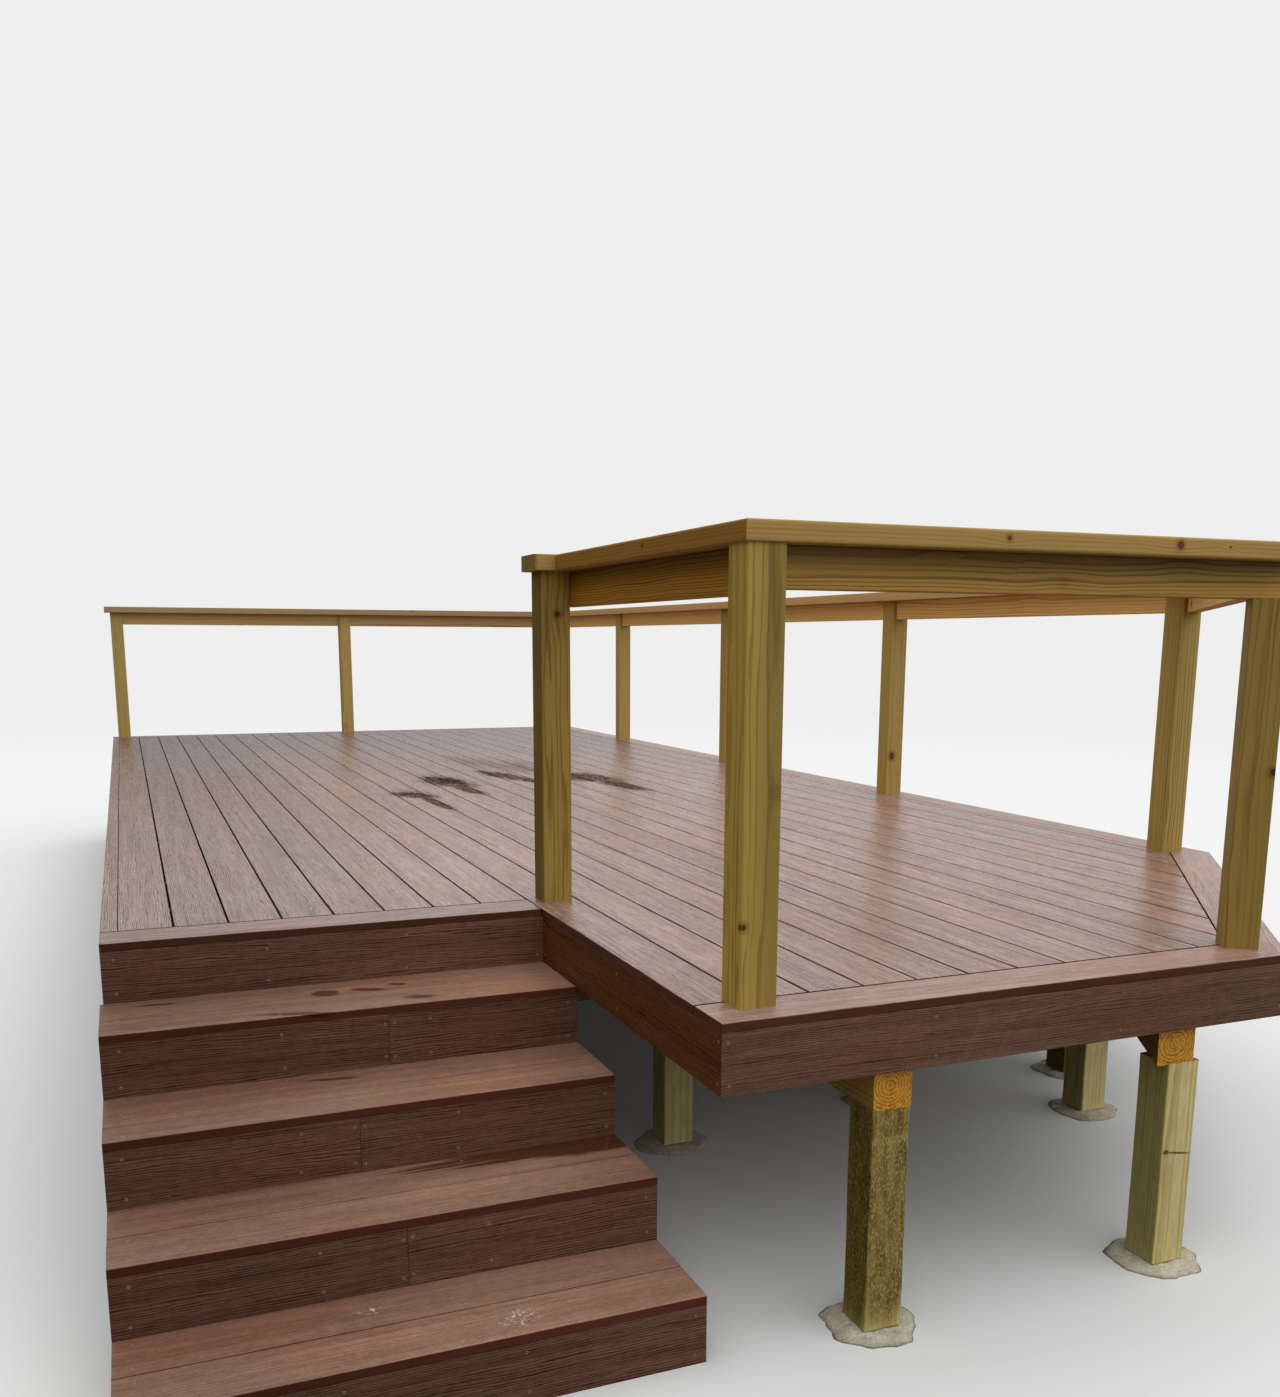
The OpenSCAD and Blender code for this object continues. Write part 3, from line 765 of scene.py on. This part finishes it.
def axes_of(points, faces):
    """Along, across and through a timber, from its longest edge and the largest face beside it."""
    edges = {(min(f[i], f[i - 1]), max(f[i], f[i - 1])) for f in faces for i in range(len(f))}

    def length(e):
        d = points[e[0]] - points[e[1]]
        return round(d.length, 4), round(abs(d.x), 4), e

    a, b = max(edges, key=length)
    along = (points[b] - points[a]).normalized()
    if max(along, key=abs) < 0:
        along = -along
    sides = []
    for f in faces:
        n = Vector()
        for i in range(1, len(f) - 1):
            n += (points[f[i]] - points[f[0]]).cross(points[f[i + 1]] - points[f[0]])
        if abs(n.normalized().dot(along)) < 0.1:
            sides.append((n.length / 2, n.normalized()))
    largest = max(area for area, _ in sides)
    thick = max((n for area, n in sides if area > largest - SAME_AREA), key=FRONT_AND_TOP.dot)
    thick = (thick - along * thick.dot(along)).normalized()
    return along, thick.cross(along), thick


def bevel(bm, edges, offset, segments):
    """Round some edges, and return the faces that this makes."""
    made = bmesh.ops.bevel(bm, geom=edges, offset=offset, segments=segments, profile=0.5,
                           affect="EDGES", clamp_overlap=True)
    return set(made["faces"])


def round_end(bm, radius):
    """Round the upright edges at the end towards the house."""
    end = min(v.co.x for v in bm.verts) + TOUCH
    upright = [e for e in bm.edges if all(v.co.x < end for v in e.verts)
               and abs(e.verts[0].co.y - e.verts[1].co.y) < TOUCH]
    bevel(bm, upright, radius, 4)


def round_edges(bm, along, arris, segments, front):
    """Round the edges along the grain, or the front ones alone, and return the new faces."""
    if not arris:
        return set()
    with_grain = [e for e in bm.edges
                  if abs((e.verts[0].co - e.verts[1].co).normalized().dot(along)) > 0.9]
    if front:
        face = min(v.co.y for v in bm.verts) + TOUCH
        with_grain = [e for e in with_grain if max(v.co.y for v in e.verts) < face]
    return bevel(bm, with_grain, arris, segments)


# A stump's sides are pushed by two noises with so many lumps to a metre, the fine one by a share of
# the other, and pulled in by a share of their distance from the middle. Both grow from nothing over
# the first and the last of so many parts of its length.
LUMPS, FINE_LUMPS, FINE_SHARE = 5.0, 38.0, 0.35
PULLED_IN = 0.018
END_PARTS = 12


def rough_sawn(bm, along, middle, cuts, wobble, shift):
    """Cut a stump into lengths and push its sides in a little and unevenly."""
    places = [(v.co - middle).dot(along) for v in bm.verts]
    low, high = min(places), max(places)
    for i in range(1, cuts):
        at = middle + along * (low + (high - low) * i / cuts)
        bmesh.ops.bisect_plane(bm, geom=list(bm.verts) + list(bm.edges) + list(bm.faces),
                               plane_co=at, plane_no=along)
    for v in bm.verts:
        q = v.co - middle
        e = (q.dot(along) - low) / (high - low)
        free = min(1.0, END_PARTS * e, END_PARTS * (1 - e))
        push = noise.noise_vector((v.co + shift) * LUMPS)
        push += noise.noise_vector((v.co + shift) * FINE_LUMPS) * FINE_SHARE
        push = (push - along * push.dot(along)) * wobble
        v.co += push * free - (q - along * q.dot(along)) * PULLED_IN * free


# The block over the stair post is the one solid of a cap with all its corners within this of its
# middle, in metres.
BLOCK_REACH = 0.15


def timber(node, material, arris=0.003, segments=2, heart=(0.03, 0.08), lean=0.012, cuts=0,
           wobble=0.0, block_end=0.0, front=False):
    """Dressed copy of a node's solids: rounded arrises, and grain coordinates for its material.

    The heart of its tree lies between two distances from the middle each way, and may lean.
    """
    rng = random.Random(node)
    verts, faces, gp, gq, fc, house_side_painted_light = [], [], [], [], [], []
    for points, flats in parts_of(node):
        along, across, thick = axes_of(points, flats)
        middle = middle_of(points)
        bm = bmesh.new()
        corners = [bm.verts.new(p) for p in points]
        for f in flats:
            bm.faces.new([corners[i] for i in f])
        bmesh.ops.recalc_face_normals(bm, faces=bm.faces)
        if block_end and max((p - middle).length for p in points) < BLOCK_REACH:
            round_end(bm, block_end)
        rounds = round_edges(bm, along, arris, segments, front)
        if cuts:
            shift = Vector((rng.random(), rng.random(), rng.random())) * 50
            rough_sawn(bm, along, middle, cuts, wobble, shift)
            bm.normal_update()
            rounds = {f for f in bm.faces
                      if max(abs(f.normal.dot(d)) for d in (along, across, thick)) < 0.995}
        bm.verts.index_update()
        bm.normal_update()
        seed, jump = rng.random(), rng.random() * 60
        pv, pw = (rng.choice((-1, 1)) * rng.uniform(*heart) for _ in range(2))
        tilt = rng.uniform(-lean, lean)
        base = len(verts)
        for v in bm.verts:
            q = v.co - middle
            a, b, c = q.dot(along), q.dot(across), q.dot(thick)
            verts.append(v.co[:])
            gp.append((a + jump, b, c))
            gq.append((b - pv - tilt * a, c - pw, seed))
        for f in bm.faces:
            faces.append([base + v.index for v in f.verts])
            is_end = abs(f.normal.dot(along)) > 0.6
            is_side = not is_end and abs(f.normal.dot(across)) > 0.75
            fc += [(float(is_side), float(is_end), float(f in rounds))] * len(f.verts)
            # How far each face looks towards the house, where pine paints shade, and light on the
            # far rails and caps.
            house_side_painted_light += [max(0.0, -f.normal.x)] * len(f.verts)
        bm.free()
    obj = add_object("v_" + node, verts, faces, MATERIALS[material])
    for name, rows, domain in (("gp", gp, "POINT"), ("gq", gq, "POINT"), ("fc", fc, "CORNER")):
        a = obj.data.attributes.new(name, "FLOAT_VECTOR", domain)
        a.data.foreach_set("vector", [c for r in rows for c in r])
    obj.data.attributes.new("house_side_painted_light", "FLOAT", "CORNER").data.foreach_set("value", house_side_painted_light)
    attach(obj, "root")
    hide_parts(node)


POST_HEART = (0.035, 0.07)

for n in ("riser_1", "riser_2", "riser_3", "riser_4", "riser_5"):
    timber(n, "riser", arris=0.0)
timber("side_fascia", "side_fascia", arris=0.0015)
for n in ("front_fascia", "clipped_fascia", "right_fascia", "back_fascia", "house_fascia"):
    timber(n, "fascia", arris=0.0015)
for n in ("tread_1", "tread_2", "tread_3", "tread_4"):
    timber(n, "tread", segments=3, front=True)
for n in ("deck_boards", "stair_top_border", "back_border"):
    timber(n, "deck", arris=0.0025)
for n in ("front_border", "clipped_border", "right_border"):
    timber(n, "edging_painted_lit", arris=0.0025)
for n in ("bearers", "slanted_bearer", "stair_header", "rim_joists", "joists"):
    timber(n, "frame", heart=(0.004, 0.02), lean=0.006)
timber("stringers", "frame", arris=0.0015, segments=1, heart=(0.05, 0.12))
timber("near_corner_post", "corner_post", arris=0.004, segments=3, heart=POST_HEART)
for n in ("stair_post", "clipped_front_post"):
    timber(n, "post", arris=0.004, segments=3, heart=POST_HEART)
for n in ("clipped_right_post", "right_posts", "back_posts"):
    timber(n, "far_post_painted_lit", arris=0.004, segments=3, heart=POST_HEART)
for n in ("side_rail", "front_rail"):
    timber(n, "rail", heart=(0.03, 0.06))
for n in ("clipped_rail", "right_rails", "back_rails"):
    timber(n, "far_rail_painted_lit", heart=(0.02, 0.05))
for n in ("side_cap", "front_cap"):
    timber(n, "cap", arris=0.006, segments=4, heart=POST_HEART, lean=0.010,
           block_end=0.012)
for n in ("clipped_cap", "right_cap", "back_cap"):
    timber(n, "far_cap_painted_lit", arris=0.004, segments=3, heart=POST_HEART, lean=0.010)
for n, kind in (("front_stumps", "stump"), ("rear_stumps", "far_stump_painted_shade")):
    timber(n, kind, arris=0.004, heart=(0.01, 0.04), lean=0.015, cuts=14,
           wobble=0.0016)


# ---------------------------------------------------------------- footings

# Rings from the middle of a collar to its rim, points around each, and the radius in metres: the
# usual one, what the coarse and the fine noise add to it, and the most that fits in the CAD pad.
COLLAR_RINGS, COLLAR_POINTS = 10, 48
COLLAR_RADIUS, COLLAR_UNEVEN, COLLAR_RAGGED, COLLAR_MOST = 0.113, 0.020, 0.008, 0.134


def footings():
    """Hand-poured collars: thin, uneven in outline, broken down to the ground at the rim."""
    verts, faces = [], []
    rng = random.Random("footings")
    for points, _ in parts_of("footings"):
        c = middle_of(points)
        top = max(p.z for p in points)
        shift = Vector((rng.random() * 40, rng.random() * 40, rng.random() * 40))
        base = len(verts)
        for i in range(COLLAR_RINGS + 1):
            t = i / COLLAR_RINGS
            for k in range(COLLAR_POINTS):
                a = 2 * math.pi * k / COLLAR_POINTS
                d = Vector((math.cos(a), math.sin(a), 0))
                rim = (COLLAR_RADIUS + COLLAR_UNEVEN * noise.noise(d * 1.7 + shift)
                       + COLLAR_RAGGED * noise.noise(d * 6 + shift))
                r = min(COLLAR_MOST, rim) * (0.3 + 0.7 * t)
                lump = (noise.noise(d * r * 34 + shift) * 0.005
                        + noise.noise(d * r * 90 + shift) * 0.004)
                z = top * 0.78 + lump - top * 0.70 * t ** 3
                z = 0.0 if i == COLLAR_RINGS else min(top, max(0.002, z))
                verts.append((c.x + d.x * r, c.y + d.y * r, z))
        for i in range(COLLAR_RINGS):
            for k in range(COLLAR_POINTS):
                a = base + i * COLLAR_POINTS + k
                b = base + i * COLLAR_POINTS + (k + 1) % COLLAR_POINTS
                faces.append((a, a + COLLAR_POINTS, b + COLLAR_POINTS, b))
        last = base + COLLAR_RINGS * COLLAR_POINTS
        faces.append([base + k for k in range(COLLAR_POINTS)])
        faces.append([last + k for k in reversed(range(COLLAR_POINTS))])
    obj = add_object("v_footings", verts, faces, MATERIALS["concrete"])
    for p in obj.data.polygons:
        p.use_smooth = True
    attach(obj, "root")
    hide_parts("footings")


footings()


# ---------------------------------------------------------------- screws

# A head as rings: the share of its radius, and the height in metres over the timber's face. The
# last is the foot of the drive, and every third of its points stands out.
HEAD_PROFILE = [(1.0, -0.0006), (1.0, 0.0002), (0.86, 0.0004), (0.52, 0.0004), (0.42, -0.0012)]
HEAD_POINTS = 12
HEAD_RADIUS = 0.0038
CAP_HEAD_RADIUS = 0.0045


def screws(name, places, radius=HEAD_RADIUS):
    """Countersunk heads, each at a point with a direction that it faces."""
    verts, faces = [], []
    rng = random.Random(name)
    drive = len(HEAD_PROFILE) - 1
    for point, facing in places:
        side = facing.orthogonal().normalized()
        other = facing.cross(side)
        start, base = rng.random() * 2, len(verts)
        for i, (r, h) in enumerate(HEAD_PROFILE):
            for k in range(HEAD_POINTS):
                a = start + 2 * math.pi * k / HEAD_POINTS
                reach = radius * r * (0.75 if i == drive and k % 3 else 1.0)
                at = point + side * math.cos(a) * reach + other * math.sin(a) * reach + facing * h
                verts.append(at[:])
        for i in range(drive):
            for k in range(HEAD_POINTS):
                a, b = base + i * HEAD_POINTS + k, base + i * HEAD_POINTS + (k + 1) % HEAD_POINTS
                faces.append((a, b, b + HEAD_POINTS, a + HEAD_POINTS))
        faces.append([base + drive * HEAD_POINTS + k for k in range(HEAD_POINTS)])
        faces.append([base + k for k in reversed(range(HEAD_POINTS))])
    obj = add_object(name, verts, faces, MATERIALS["screw"])
    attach(obj, "root")


# Middles of the stringers, heights of the rows in the top riser and in the fascias, and the deck's
# edge from the notch corner round to the house, all in mm from that corner.
STRINGERS = (-1172, -785, -406, -18)
TOP_RISER_ROWS = (-48, -136)
FASCIA_ROWS = (-46, -137)
DECK_EDGE = ((0, 0), (0, -1210), (1600, -1210), (2650, 50), (2650, 7500), (-1205, 7500))

# In metres: from a riser's end, from its long edges, and the least from an end's screws to those of
# a stringer; from a tread board's edges; from a fascia's end, and between its screws; and from the
# middle of a post.
RISER_END, RISER_EDGE, RISER_CLEAR = 0.012, 0.024, 0.05
TREAD_EDGE = 0.023
FASCIA_END, FASCIA_STEP = 0.018, 0.54
POST_PAIR = ((-0.022, -0.02), (0.022, 0.02))
POST_NODES = ("stair_post", "near_corner_post", "clipped_front_post", "clipped_right_post",
              "right_posts", "back_posts")


def screw_all():
    """Rows over the stringers, at board ends, along the fascias, and through the cap into posts."""
    lines = [spot(x, 0).x for x in STRINGERS]
    jitter = random.Random(5)

    def j(size=0.003):
        return jitter.uniform(-size, size)

    found = []
    for k in range(2, 6):
        for points, _ in parts_of(f"riser_{k}"):
            (xa, xb), (za, zb), y = reach_of(points, X), reach_of(points, Z), reach_of(points, Y)[0]
            xs = [x for x in lines if xa < x < xb]
            xs += [x for x in (xa + RISER_END, xb - RISER_END)
                   if min(abs(x - line) for line in lines) > RISER_CLEAR]
            for x in xs:
                for z in (za + RISER_EDGE, zb - RISER_EDGE):
                    found.append((Vector((x + j(), y, z + j())), FORWARD))
    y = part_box("riser_1")[0].y
    for x in lines:
        for z in TOP_RISER_ROWS:
            found.append((Vector((x + j(), y, spot(0, 0, z).z + j())), FORWARD))
    screws("riser_screws", found)

    found = []
    for k in range(1, 5):
        for points, _ in parts_of(f"tread_{k}"):
            (ya, yb), z = reach_of(points, Y), reach_of(points, Z)[1]
            for x in lines:
                for y in (ya + TREAD_EDGE, yb - TREAD_EDGE):
                    found.append((Vector((x + j(), y + j(), z)), UP))
    screws("tread_screws", found)

    found = []
    edge = [spot(*p) for p in DECK_EDGE]
    for a, b in zip(edge, edge[1:]):
        d = (b - a).normalized()
        facing = Vector((d.y, -d.x, 0))
        steps = max(2, round((b - a).length / FASCIA_STEP))
        for i in range(steps + 1):
            at = a + (b - a) * i / steps
            at += d * (FASCIA_END if i == 0 else -FASCIA_END if i == steps else 0)
            for z in FASCIA_ROWS:
                found.append((Vector((at.x, at.y, spot(0, 0, z).z + j())) + d * j(), facing))
    screws("fascia_screws", found)

    found = []
    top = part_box("side_cap")[1].z
    for n in POST_NODES:
        for points, _ in parts_of(n):
            c = middle_of(points)
            for dx, dy in POST_PAIR:
                found.append((Vector((c.x + dx + j(), c.y + dy + j(), top)), UP))
    screws("cap_screws", found, CAP_HEAD_RADIUS)


screw_all()


# ---------------------------------------------------------------- stage and light

# The pale backdrop that the camera sees, and a floor that fades into it between two distances in
# metres.
BACKDROP = (0.86, 0.86, 0.855, 1)
FLOOR_RADIUS, FLOOR_SIDES = 120, 64
FLOOR_FADE = (7.0, 22.0)
FLOOR_SEEN, FLOOR_UNSEEN = (0.80, 0.80, 0.79), (0.15, 0.15, 0.14)


def floor():
    """Pale to the camera and dark to the deck, like the lawn under it."""
    net = Net("floor_pale")
    seen = net.node("ShaderNodeLightPath").outputs["Is Camera Ray"]
    ground = net.node("ShaderNodeBsdfDiffuse")
    net.put(ground.inputs["Color"], net.mix(seen, FLOOR_UNSEEN, FLOOR_SEEN))
    glow = net.node("ShaderNodeEmission")
    net.put(glow.inputs["Color"], BACKDROP)
    fade = net.mul(net.step(net.length(net.place()), *FLOOR_FADE), seen)
    net.output(net.mix_shaders(fade, ground.outputs[0], glow.outputs[0]))
    turns = [2 * math.pi * k / FLOOR_SIDES for k in range(FLOOR_SIDES)]
    rim = [(math.cos(a) * FLOOR_RADIUS, math.sin(a) * FLOOR_RADIUS, 0) for a in turns]
    obj = add_object("floor", rim, [list(range(FLOOR_SIDES))], net.mat)


# Where the sky is brightest, where the house stands, and the tint of the sky's light.
BRIGHT_SIDE = Vector((0.50, -0.62, 0.60)).normalized()
HOUSE_WAY = (-1.0, 0.0, 0.12)
SKY_LIGHT = (0.98, 0.99, 1.0, 1)


def sky():
    """An overcast sky, brighter overhead and at the front right, dimmer where the house stands.

    Reflections see a level one instead, with a dark hedge low down, higher on the house's side.
    """
    world = bpy.data.worlds.new("sky")
    scene.world = world
    world.use_nodes = True
    net = Net(world=world)
    way = net.node("ShaderNodeTexCoord").outputs["Generated"]
    path = net.node("ShaderNodeLightPath").outputs
    across, _, rise = net.split(way)
    glow = net.mul(net.step(net.vec("DOT_PRODUCT", way, tuple(BRIGHT_SIDE)), 0.1, 1.0), 0.38)
    house = net.step(net.vec("DOT_PRODUCT", way, HOUSE_WAY), 0.1, 0.9)
    level = net.add(net.math("MULTIPLY_ADD", net.most(rise, 0.0), 1.15, 0.30), glow)
    level = net.mul(level, net.less(house, 0.30))
    top = net.step(across, 0.35, 0.0, 0.12, 0.20)
    hedge = net.most(net.step(net.take(rise, top), 0.03, -0.03), net.mul(house, 0.8))
    level = net.fade(path["Is Glossy Ray"], level, net.less(hedge, 0.75))
    light, plain = net.node("ShaderNodeBackground"), net.node("ShaderNodeBackground")
    net.put(light.inputs["Color"], SKY_LIGHT)
    net.put(light.inputs["Strength"], level)
    net.put(plain.inputs["Color"], BACKDROP)
    net.output(net.mix_shaders(path["Is Camera Ray"], light.outputs[0], plain.outputs[0]), "World")
    scene.view_settings.view_transform = "Standard"


floor()
sky()
